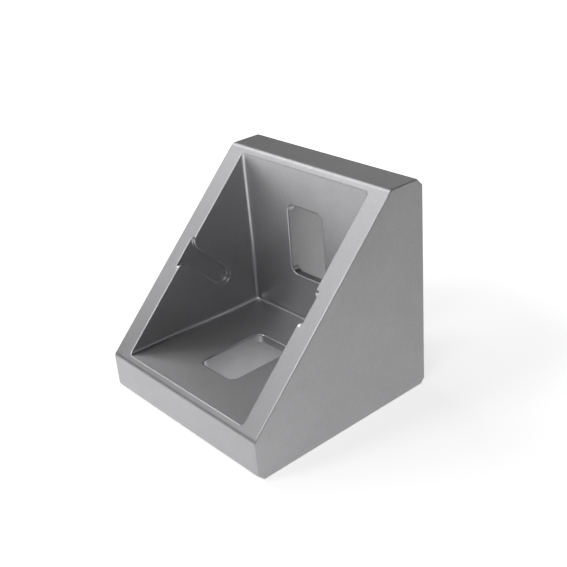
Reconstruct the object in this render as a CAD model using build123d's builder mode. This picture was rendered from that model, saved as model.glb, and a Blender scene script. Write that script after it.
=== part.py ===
from build123d import *
import os
from math import isclose, sqrt

# Closed corner bracket for slotted framing, die cast in one piece.
# Two thick plates stand at right angles and bear on two profiles. A triangular wall closes each side,
# so the sloped front is the rim of an open pocket that the screws are reached through.
# The origin is the corner where the planes of the two contact faces meet, halfway across the width.
# X runs across the width, Z up the back plate, and the base plate runs from the corner towards -Y.

# Outside form
width = 43.0
leg = 42.0  # length of each contact face, from the corner
land = 8.0  # height of the front face, and depth of the flat on top
rim_round = 1.5  # between the sloped rim and the two flats at its ends
end_chamfer = 1.4  # far edge of each contact face
heel_chamfer = 1.0  # edge in the corner, where the two contact faces would meet
edge_break = 0.2  # soft edge that tumbling leaves on the casting

# Walls around the pocket
plate = 9.0  # base and back
side_wall = 4.3  # at the rim
side_draft = 1.5  # degrees that each side wall leans, so that the pocket narrows with depth
pocket_round = 0.7

# Screw slot in each plate
slot_width = 9.6
slot_length = 14.6
slot_from_heel = 18.7  # its near end
slot_corner = 1.6
slot_edge_round = 0.25  # along its edge in the pocket

# Relief under each slot, cored from the contact face over the groove of the profile
skin = 1.6  # metal left around the slot's ends
relief_from_heel = 9.8
relief_end_wall = 4.5
relief_corner = 1.0

# Groove in each side wall that the clip of a cover cap snaps into
groove_width = 4.0
groove_depth = 0.9  # at the rim; its floor doesn't lean, so it deepens towards the nose
groove_length = 12.8  # from the rim to the tip of its round nose
groove_flare = 1.5  # how far each side opens at the rim
flare_length = 1.9  # the part of the groove that opens
groove_floor_round = 0.2  # along the foot of its sides
groove_edge_round = 0.15  # along the top of its sides

# Directions and planes shared by the cuts
slope = Axis((0, 0, 0), (-1, 1, 0))  # square to the rim, in the side view's sketch
out_of_rim = Axis((0, 0, 0), (0, -1, 1))  # the same direction on the part
along_rim = Axis((0, 0, 0), (0, 1, 1))  # up the slope
rim_middle = (leg + land) / 2  # how far in front of the corner and above it
rim_height = sqrt(2) * rim_middle  # from the corner to the rim, square to it
wall_inside = width / 2 - side_wall
groove_floor = wall_inside + groove_depth
groove_side = groove_width / 2
groove_nose = rim_height - groove_length + groove_side
slot_middle = slot_from_heel + slot_length / 2
relief_length = leg - relief_end_wall - relief_from_heel
relief_middle = relief_from_heel + relief_length / 2
base_plane = Plane(origin=(0, 0, 0), x_dir=(0, -1, 0), z_dir=(0, 0, 1))
back_plane = Plane(origin=(0, 0, 0), x_dir=(0, 0, 1), z_dir=(0, -1, 0))
rim_plane = Plane(origin=(0, -rim_middle, rim_middle), x_dir=(1, 0, 0), z_dir=(0, -1, 1))
left_floor = Plane(origin=(-groove_floor, 0, 0), x_dir=(0, -1, 1), z_dir=(1, 0, 0))
right_floor = Plane(origin=(groove_floor, 0, 0), x_dir=(0, -1, 1), z_dir=(-1, 0, 0))

# Core that forms the pocket between the plates and the side walls, reaching out through the rim
with BuildPart() as core:
    with BuildSketch(Plane.YZ):
        with BuildLine():
            Polyline((-plate, plate), (-plate, leg + land), (-leg - land, plate), close=True)
        make_face()
    extrude(amount=wall_inside, both=True)
    draft(faces().filter_by(Axis.X), rim_plane, -side_draft)
    fillet(edges() - faces().sort_by(out_of_rim)[-1].edges(), pocket_round)

with BuildPart() as corner_bracket:
    # Side view of the casting, carried across the whole width
    with BuildSketch(Plane.YZ) as side_view:
        with BuildLine():
            Polyline((0, 0), (0, leg), (-land, leg), (-leg, land), (-leg, 0), close=True)
        make_face()
        fillet(side_view.vertices().group_by(slope)[-1], rim_round)
        chamfer(side_view.vertices().group_by(slope)[1], end_chamfer)
        chamfer(side_view.vertices().group_by(slope)[0], heel_chamfer)
    extrude(amount=width / 2, both=True)
    outer_edges = faces().sort_by(Axis.X)[-1].outer_wire().edges()
    outer_edges += faces().sort_by(Axis.X)[0].outer_wire().edges()
    fillet(outer_edges, edge_break)

    # Pocket
    add(core.part, mode=Mode.SUBTRACT)
    rim = faces().filter_by(GeomType.PLANE).sort_by(out_of_rim)[-1]
    fillet(rim.inner_wires()[0].edges(), edge_break)

    # Clip grooves, square to the rim and halfway along it
    with BuildSketch(left_floor, right_floor):
        with BuildLine():
            CenterArc((groove_nose, 0), groove_side, 90, 90)
            side = Line((groove_nose, groove_side), (rim_height - flare_length, groove_side))
            flare = TangentArc(side @ 1, (rim_height, groove_side + groove_flare), tangent=side % 1)
            clear_of_rim = flare @ 1 + Vector(groove_flare, 0)
            Polyline(flare @ 1, clear_of_rim, (clear_of_rim.X, 0))
            mirror(about=Plane.XZ)
        make_face()
    extrude(amount=groove_floor, mode=Mode.SUBTRACT)
    groove_edges = edges(Select.LAST).filter_by(along_rim, reverse=True)
    floor_edges = groove_edges.filter_by(lambda edge: isclose(abs(edge.center().X), groove_floor))
    wall_edges = groove_edges.filter_by(lambda edge: abs(edge.center().X) < wall_inside)
    fillet(floor_edges, groove_floor_round)
    fillet(wall_edges, groove_edge_round)

    # Screw slot through each plate
    with BuildSketch(base_plane, back_plane):
        with Locations((slot_middle, 0)):
            RectangleRounded(slot_length, slot_width, slot_corner)
    extrude(amount=leg, mode=Mode.SUBTRACT)
    slot_edges = edges(Select.LAST)
    mouth_edges = slot_edges.filter_by(lambda edge: isclose(edge.center().Z, plate))
    mouth_edges += slot_edges.filter_by(lambda edge: isclose(edge.center().Y, -plate))
    fillet(mouth_edges, slot_edge_round)

    # Relief along each slot
    with BuildSketch(base_plane, back_plane):
        with Locations((relief_middle, 0)):
            RectangleRounded(relief_length, slot_width, relief_corner)
    extrude(amount=plate - skin, mode=Mode.SUBTRACT)

corner_bracket.part.label = "corner_bracket"
os.makedirs("parts", exist_ok=True)
export_step(corner_bracket.part, "parts/corner_bracket.step")
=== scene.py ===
"""Looks of a closed die-cast corner bracket.

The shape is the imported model's own. This file adds its blasted metal skin, a pale floor, soft
lamps and the camera. Directions are angles round the bracket, in degrees. Lengths are in metres.
"""

import logging
import math
from collections.abc import Sequence
from dataclasses import dataclass
from enum import Enum

import bpy
from mathutils import Matrix, Vector


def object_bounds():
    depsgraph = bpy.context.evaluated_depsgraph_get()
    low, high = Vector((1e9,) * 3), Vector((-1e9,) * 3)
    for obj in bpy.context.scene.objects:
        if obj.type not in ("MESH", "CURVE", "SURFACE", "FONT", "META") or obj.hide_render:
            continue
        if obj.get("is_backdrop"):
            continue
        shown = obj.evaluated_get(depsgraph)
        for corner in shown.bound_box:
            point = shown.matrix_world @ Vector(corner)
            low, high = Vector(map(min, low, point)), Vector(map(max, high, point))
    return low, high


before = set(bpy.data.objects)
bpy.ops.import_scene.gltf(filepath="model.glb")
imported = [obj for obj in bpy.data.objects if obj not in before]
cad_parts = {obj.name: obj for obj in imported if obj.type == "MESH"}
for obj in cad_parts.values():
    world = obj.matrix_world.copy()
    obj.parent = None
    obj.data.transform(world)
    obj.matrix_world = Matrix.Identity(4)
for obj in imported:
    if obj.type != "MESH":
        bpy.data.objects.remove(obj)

PHOTO_PIXELS = 567
SENSOR_MM = 36.0
MM = 0.001
WHITE = (1.0, 1.0, 1.0, 1.0)

# The way up the slope, which is also the slope's normal without its signs.
DIAGONAL = (0.0, math.sqrt(0.5), math.sqrt(0.5))

# Most of a noise's values lie in this range.
NOISE_RANGE = (0.3, 0.7)

log = logging.getLogger("corner_bracket")

Socket = bpy.types.NodeSocket


class RayKind(Enum):
    """Kinds of ray that the floor and the room answer with a light of their own."""

    CAMERA = "Is Camera Ray"
    GLOSSY = "Is Glossy Ray"
    TRANSMISSION = "Is Transmission Ray"


def direction_from(azimuth: float, elevation: float) -> Vector:
    """Turn two angles into a direction.

    Args:
        azimuth: degrees round the bracket; 0 is in front of the foot and 90 on its right.
        elevation: degrees above the floor.

    Returns:
        The unit vector from the bracket towards that place.
    """
    turn = math.radians(azimuth)
    rise = math.radians(elevation)
    level = math.cos(rise)
    return Vector((math.sin(turn) * level, -math.cos(turn) * level, math.sin(rise)))


def spread(middle: float, width: float) -> tuple[float, float]:
    """Give the two ends of a range.

    Args:
        middle: the range's middle.
        width: its full width.

    Returns:
        The low end and the high end.
    """
    return (middle - width / 2, middle + width / 2)


class ShaderSheet:
    """A node tree with short calls for its nodes and links."""

    def __init__(self, tree: bpy.types.NodeTree) -> None:
        """Keep the tree that the calls draw in."""
        self.tree = tree

    def add(self, kind: str, **settings: object) -> bpy.types.Node:
        """Add a node.

        Args:
            kind: Blender's name for the node type.
            settings: properties to set on the node.

        Returns:
            The new node.
        """
        node = self.tree.nodes.new(kind)
        for name, value in settings.items():
            setattr(node, name, value)
        return node

    def join(self, source: Socket, target: Socket) -> None:
        """Link an output to an input."""
        self.tree.links.new(source, target)

    def combine(self, operation: str, first: Socket, second: Socket | float) -> Socket:
        """Combine two numbers with a Math node.

        Args:
            operation: name of the operation.
            first: socket that holds the first number.
            second: socket or plain number for the second.

        Returns:
            The socket that holds the result.
        """
        node = self.add("ShaderNodeMath", operation=operation)
        self.join(first, node.inputs[0])
        if isinstance(second, Socket):
            self.join(second, node.inputs[1])
        else:
            node.inputs[1].default_value = second
        return node.outputs[0]

    def unsigned(self, value: Socket) -> Socket:
        """Drop a number's sign."""
        node = self.add("ShaderNodeMath", operation="ABSOLUTE")
        self.join(value, node.inputs[0])
        return node.outputs[0]

    def reach(self, vector: Socket, direction: Sequence[float]) -> Socket:
        """Measure how far a vector reaches in a fixed direction.

        Args:
            vector: socket that holds the vector.
            direction: the direction, of length 1.

        Returns:
            The socket that holds the length.
        """
        node = self.add("ShaderNodeVectorMath", operation="DOT_PRODUCT")
        self.join(vector, node.inputs[0])
        node.inputs[1].default_value = direction
        return node.outputs["Value"]

    def remap(
        self,
        value: Socket,
        source: tuple[float, float],
        target: tuple[float, float],
    ) -> Socket:
        """Map a number from one range to another, without going past the ends.

        Args:
            value: socket that holds the number.
            source: the range that it comes in.
            target: the range that it leaves in.

        Returns:
            The socket that holds the result.
        """
        node = self.add("ShaderNodeMapRange", clamp=True)
        self.join(value, node.inputs["Value"])
        node.inputs["From Min"].default_value = source[0]
        node.inputs["From Max"].default_value = source[1]
        node.inputs["To Min"].default_value = target[0]
        node.inputs["To Max"].default_value = target[1]
        return node.outputs["Result"]

    def noise(self, place: Socket, size: float, detail: float) -> Socket:
        """Add fractal noise.

        Args:
            place: socket that holds the place on the piece.
            size: width of the noise's largest blots, in metres.
            detail: how many finer layers lie over them.

        Returns:
            The socket with the noise, from 0 to 1 round 0.5.
        """
        node = self.add("ShaderNodeTexNoise")
        self.join(place, node.inputs["Vector"])
        node.inputs["Scale"].default_value = 1.0 / size
        node.inputs["Detail"].default_value = detail
        return node.outputs["Fac"]

    def by_ray(self, seen: Socket | float, mirrored: Socket | float) -> Socket:
        """Give what the camera sees one light, and what metal or glass shows another.

        Args:
            seen: light for camera rays.
            mirrored: light for glossy and transmission rays.

        Returns:
            The socket with the light, which is 0 for all other rays.
        """
        path = self.add("ShaderNodeLightPath")
        light = self.combine("MULTIPLY", path.outputs[RayKind.CAMERA.value], seen)
        for kind in (RayKind.GLOSSY, RayKind.TRANSMISSION):
            share = self.combine("MULTIPLY", path.outputs[kind.value], mirrored)
            light = self.combine("MAXIMUM", light, share)
        return light


@dataclass(frozen=True)
class CastAluminium:
    """Pressure die casting, tumbled and bead blasted to an even satin grey.

    A round or fillet is told from a flat face by its normal, which on a flat face lies along an
    axis or a diagonal. Where the cosine to all of these is below round_cosine, the surface counts
    as fully round.
    """

    colour: tuple[float, float, float] = (0.50, 0.50, 0.51)
    roughness: float = 0.45
    grain_size: float = 0.35 * MM
    grain_detail: float = 2.0
    grain_height: float = 0.02 * MM
    grain_tone: float = 0.09
    blot_size: float = 2.6 * MM
    blot_detail: float = 3.0
    blot_roughness: float = 0.05
    flow_size: float = 14.0 * MM
    flow_detail: float = 4.0
    flow_tone: float = 0.06
    pit_spacing: float = 1.1 * MM
    pit_radius: float = 0.07
    pit_depth: float = 0.012 * MM
    # Pits darker by this factor: painted shade in the pits.
    pit_shade_tone: float = 0.7
    round_cosine: float = 0.985
    # Rounds and fillets lighter by this factor: a painted highlight.
    round_highlight_tone: float = 1.1
    round_polish: float = 0.15
    outer_share: float = 0.2
    mouth_half_length: float = 23.0 * MM

    def build(self) -> bpy.types.Material:
        """Build the finish.

        Returns:
            The material.
        """
        material = bpy.data.materials.new("cast_aluminium_satin")
        material.use_nodes = True
        sheet = ShaderSheet(material.node_tree)
        skin = material.node_tree.nodes["Principled BSDF"]
        skin.inputs["Metallic"].default_value = 1.0
        place = sheet.add("ShaderNodeTexCoord").outputs["Object"]
        # Mask of the rounds: their polish lowers the roughness, and their tone lift is a painted
        # highlight.
        polish_and_highlight = self._round(sheet, place)
        pit = self._pit(sheet, place)
        blot = sheet.noise(place, self.blot_size, self.blot_detail)
        grain = sheet.noise(place, self.grain_size, self.grain_detail)
        self._colour(sheet, skin, place, grain, polish_and_highlight, pit)
        self._roughness(sheet, skin, blot, polish_and_highlight)
        self._relief(sheet, skin, grain, pit)
        return material

    def _round(self, sheet: ShaderSheet, place: Socket) -> Socket:
        """Mask the rounds and fillets, which tumbling has smoothed and which carry a painted
        highlight, by where their surface turns.

        Args:
            sheet: the material's node tree.
            place: socket that holds the place on the piece.

        Returns:
            A socket that is 1 on a round of the mouth or pocket, outer_share on a round beyond the
            mouth's ends, and 0 on a flat face.
        """
        turned = sheet.add("ShaderNodeVectorMath", operation="ABSOLUTE")
        sheet.join(sheet.add("ShaderNodeTexCoord").outputs["Normal"], turned.inputs[0])
        normal = turned.outputs["Vector"]
        sides = sheet.add("ShaderNodeSeparateXYZ")
        sheet.join(normal, sides.inputs[0])
        flat = sheet.reach(normal, DIAGONAL)
        for side in sides.outputs:
            flat = sheet.combine("MAXIMUM", flat, side)
        turning = sheet.remap(flat, (1.0, self.round_cosine), (0.0, 1.0))
        from_middle = sheet.unsigned(sheet.reach(place, DIAGONAL))
        outside = sheet.combine("GREATER_THAN", from_middle, self.mouth_half_length)
        share = sheet.remap(outside, (0.0, 1.0), (1.0, self.outer_share))
        return sheet.combine("MULTIPLY", turning, share)

    def _pit(self, sheet: ShaderSheet, place: Socket) -> Socket:
        """Mask the small gas pits of the casting's skin.

        Args:
            sheet: the material's node tree.
            place: socket that holds the place on the piece.

        Returns:
            A socket that is 1 in a pit and 0 on the skin round it.
        """
        cells = sheet.add("ShaderNodeTexVoronoi", feature="F1")
        sheet.join(place, cells.inputs["Vector"])
        cells.inputs["Scale"].default_value = 1.0 / self.pit_spacing
        return sheet.remap(cells.outputs["Distance"], (self.pit_radius, 0.0), (0.0, 1.0))

    def _colour(
        self,
        sheet: ShaderSheet,
        skin: bpy.types.Node,
        place: Socket,
        grain: Socket,
        polish_and_highlight: Socket,
        pit: Socket,
    ) -> None:
        """Vary the metal's tone with the flow of the melt and its grain, lighten its rounds as a
        painted highlight and darken its pits as painted shade.

        Args:
            sheet: the material's node tree.
            skin: the surface shader.
            place: socket that holds the place on the piece.
            grain: noise as fine as the blasting beads' dents.
            polish_and_highlight: mask of the rounds, which the tone lightens as a painted
                highlight.
            pit: mask of the pits, which the tone darkens as painted shade.
        """
        flow = sheet.noise(place, self.flow_size, self.flow_detail)
        tone = sheet.remap(flow, NOISE_RANGE, spread(1.0, self.flow_tone))
        for change in (
            sheet.remap(grain, NOISE_RANGE, spread(1.0, self.grain_tone)),
            # Rounds lighter: painted highlight.
            sheet.remap(polish_and_highlight, (0.0, 1.0), (1.0, self.round_highlight_tone)),
            # Pits darker: painted shade.
            sheet.remap(pit, (0.0, 1.0), (1.0, self.pit_shade_tone)),
        ):
            tone = sheet.combine("MULTIPLY", tone, change)
        tint = sheet.add("ShaderNodeVectorMath", operation="SCALE")
        tint.inputs[0].default_value = self.colour
        sheet.join(tone, tint.inputs["Scale"])
        sheet.join(tint.outputs["Vector"], skin.inputs["Base Color"])

    def _roughness(
        self,
        sheet: ShaderSheet,
        skin: bpy.types.Node,
        blot: Socket,
        polish_and_highlight: Socket,
    ) -> None:
        """Vary the sheen in faint blots, and polish the rounds a little.

        Args:
            sheet: the material's node tree.
            skin: the surface shader.
            blot: noise a few millimetres wide.
            polish_and_highlight: mask of the rounds.
        """
        rough = sheet.remap(blot, NOISE_RANGE, spread(self.roughness, self.blot_roughness))
        polish = sheet.combine("MULTIPLY", polish_and_highlight, self.round_polish)
        sheet.join(sheet.combine("SUBTRACT", rough, polish), skin.inputs["Roughness"])

    def _relief(
        self,
        sheet: ShaderSheet,
        skin: bpy.types.Node,
        grain: Socket,
        pit: Socket,
    ) -> None:
        """Raise the blasted grain and sink the pits.

        Args:
            sheet: the material's node tree.
            skin: the surface shader.
            grain: noise as fine as the blasting beads' dents.
            pit: mask of the pits.
        """
        dents = sheet.add("ShaderNodeBump")
        dents.inputs["Distance"].default_value = self.grain_height
        sheet.join(grain, dents.inputs["Height"])
        holes = sheet.add("ShaderNodeBump", invert=True)
        holes.inputs["Distance"].default_value = self.pit_depth
        sheet.join(pit, holes.inputs["Height"])
        sheet.join(dents.outputs["Normal"], holes.inputs["Normal"])
        sheet.join(holes.outputs["Normal"], skin.inputs["Normal"])


@dataclass(frozen=True)
class PaleBoard:
    """White studio board that glows where it is the backdrop, and still takes a shadow.

    The camera sees the board brighten from near to far round the bracket. In the metal it brightens
    towards lit_side, from dim_end to lit_end, as if a window lit it from that side.
    """

    colour: tuple[float, float, float] = (0.80, 0.80, 0.80)
    near: float = 40.0 * MM
    far: float = 130.0 * MM
    near_glow: float = 0.66
    far_glow: float = 1.0
    lit_side: float = 309.0
    dim_end: float = -60.0 * MM
    lit_end: float = 90.0 * MM
    dim_glow: float = 0.29
    lit_glow: float = 0.80

    def build(self) -> bpy.types.Material:
        """Build the finish.

        Returns:
            The material.
        """
        material = bpy.data.materials.new("pale_board")
        material.use_nodes = True
        sheet = ShaderSheet(material.node_tree)
        board = material.node_tree.nodes["Principled BSDF"]
        board.inputs["Base Color"].default_value = (*self.colour, 1.0)
        board.inputs["Roughness"].default_value = 1.0
        board.inputs["Specular IOR Level"].default_value = 0.0
        board.inputs["Emission Color"].default_value = WHITE
        place = sheet.add("ShaderNodeTexCoord").outputs["Object"]
        away = sheet.add("ShaderNodeVectorMath", operation="LENGTH")
        sheet.join(place, away.inputs[0])
        seen = sheet.remap(
            away.outputs["Value"],
            (self.near, self.far),
            (self.near_glow, self.far_glow),
        )
        mirrored = sheet.remap(
            sheet.reach(place, direction_from(self.lit_side, 0.0)),
            (self.dim_end, self.lit_end),
            (self.dim_glow, self.lit_glow),
        )
        sheet.join(sheet.by_ray(seen, mirrored), board.inputs["Emission Strength"])
        return material


@dataclass
class CornerBracket:
    """The casting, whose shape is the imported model's own."""

    node: bpy.types.Object
    finish: CastAluminium

    def dress(self) -> bpy.types.Object:
        """Give the casting its finish.

        Returns:
            The dressed piece.
        """
        material = self.finish.build()
        for slot in self.node.material_slots:
            slot.material = material
        return self.node


@dataclass
class StudioFloor:
    """The board that the bracket stands on."""

    side: float
    height: float
    finish: PaleBoard

    def build(self) -> bpy.types.Object:
        """Lay the board.

        Returns:
            The floor, marked as stage.
        """
        bpy.ops.mesh.primitive_plane_add(size=self.side, location=(0.0, 0.0, self.height))
        floor = bpy.context.object
        floor.name = "studio_floor"
        floor.data.materials.append(self.finish.build())
        floor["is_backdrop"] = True
        return floor


@dataclass
class RoomLight:
    """The room round the board: white where the camera sees it, and dim in the metal."""

    seen: float
    mirrored: float

    def build(self) -> bpy.types.World:
        """Set the world's light.

        Returns:
            The world.
        """
        world = bpy.data.worlds.new("room")
        world.use_nodes = True
        sheet = ShaderSheet(world.node_tree)
        room = world.node_tree.nodes["Background"]
        room.inputs["Color"].default_value = WHITE
        sheet.join(sheet.by_ray(self.seen, self.mirrored), room.inputs["Strength"])
        bpy.context.scene.world = world
        return world


@dataclass
class SoftLamp:
    """A round softbox that points at the bracket."""

    name: str
    azimuth: float
    elevation: float
    distance: float
    diameter: float
    watts: float

    def build(self, middle: Vector) -> bpy.types.Object:
        """Hang the lamp.

        Args:
            middle: the point that it looks at.

        Returns:
            The lamp.
        """
        light = bpy.data.lights.new(self.name, "AREA")
        light.shape = "DISK"
        light.size = self.diameter
        light.energy = self.watts
        lamp = bpy.data.objects.new(self.name, light)
        bpy.context.scene.collection.objects.link(lamp)
        towards = direction_from(self.azimuth, self.elevation)
        lamp.location = middle + towards * self.distance
        lamp.rotation_euler = towards.to_track_quat("Z", "Y").to_euler()
        return lamp


@dataclass
class Viewpoint:
    """The camera, placed by what it aims at."""

    aim: Vector
    azimuth: float
    elevation: float
    roll: float
    distance: float
    focal_pixels: float
    clip_start: float = 0.01

    def build(self) -> bpy.types.Object:
        """Place the camera and make it the scene's.

        Returns:
            The camera.
        """
        back = direction_from(self.azimuth, self.elevation)
        level = Vector((0.0, 0.0, 1.0)).cross(back).normalized()
        upright = back.cross(level)
        tilt = Matrix.Rotation(math.radians(self.roll), 3, "Z")
        turn = Matrix((level, upright, back)).transposed() @ tilt
        lens = bpy.data.cameras.new("camera")
        lens.sensor_width = SENSOR_MM
        lens.lens = self.focal_pixels / PHOTO_PIXELS * SENSOR_MM
        lens.clip_start = self.clip_start
        camera = bpy.data.objects.new("camera", lens)
        bpy.context.scene.collection.objects.link(camera)
        place = self.aim + back * self.distance
        camera.matrix_world = Matrix.Translation(place) @ turn.to_4x4()
        bpy.context.scene.camera = camera
        return camera


def main() -> None:
    """Dress the bracket, then set up the floor, the light and the camera."""
    logging.basicConfig(level=logging.INFO, format="%(name)s: %(message)s")
    cad_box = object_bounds()
    middle = (cad_box[0] + cad_box[1]) / 2
    bpy.context.scene.view_settings.view_transform = "Standard"

    bracket = CornerBracket(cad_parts["corner_bracket"], CastAluminium()).dress()
    log.info("dressed %s", bracket.name)
    floor = StudioFloor(side=6.0, height=cad_box[0].z, finish=PaleBoard()).build()
    log.info("laid %s", floor.name)
    room = RoomLight(seen=1.0, mirrored=0.01).build()
    log.info("lit %s", room.name)

    # Name, azimuth, elevation, distance, diameter and watts.
    lamps = (
        SoftLamp("low_left_softbox", 285.0, 22.0, 0.25, 0.14, 0.045),
        SoftLamp("near_left_softbox", 285.0, 54.0, 0.25, 0.14, 0.085),
        SoftLamp("high_left_softbox", 260.0, 45.0, 0.45, 0.20, 0.190),
        SoftLamp("front_left_softbox", 335.0, 42.0, 0.9, 0.30, 1.68),
        SoftLamp("front_softbox", 20.0, 57.0, 0.9, 0.30, 0.80),
        SoftLamp("top_softbox", 50.0, 72.0, 0.9, 0.30, 0.30),
        SoftLamp("back_left_softbox", 216.0, 27.0, 0.9, 0.50, 0.31),
        SoftLamp("back_right_softbox", 129.0, 30.0, 0.9, 0.50, 0.34),
        SoftLamp("front_right_softbox", 60.0, 38.0, 0.9, 0.50, 0.55),
    )
    for lamp in lamps:
        log.info("hung %s", lamp.build(middle).name)
    camera = Viewpoint(
        aim=Vector((-12.31, -5.39, 12.31)) * MM,
        azimuth=50.76,
        elevation=26.54,
        roll=-4.81,
        distance=194.9 * MM,
        focal_pixels=932.0,
    ).build()
    log.info("placed %s", camera.name)


if __name__ == "__main__":
    main()
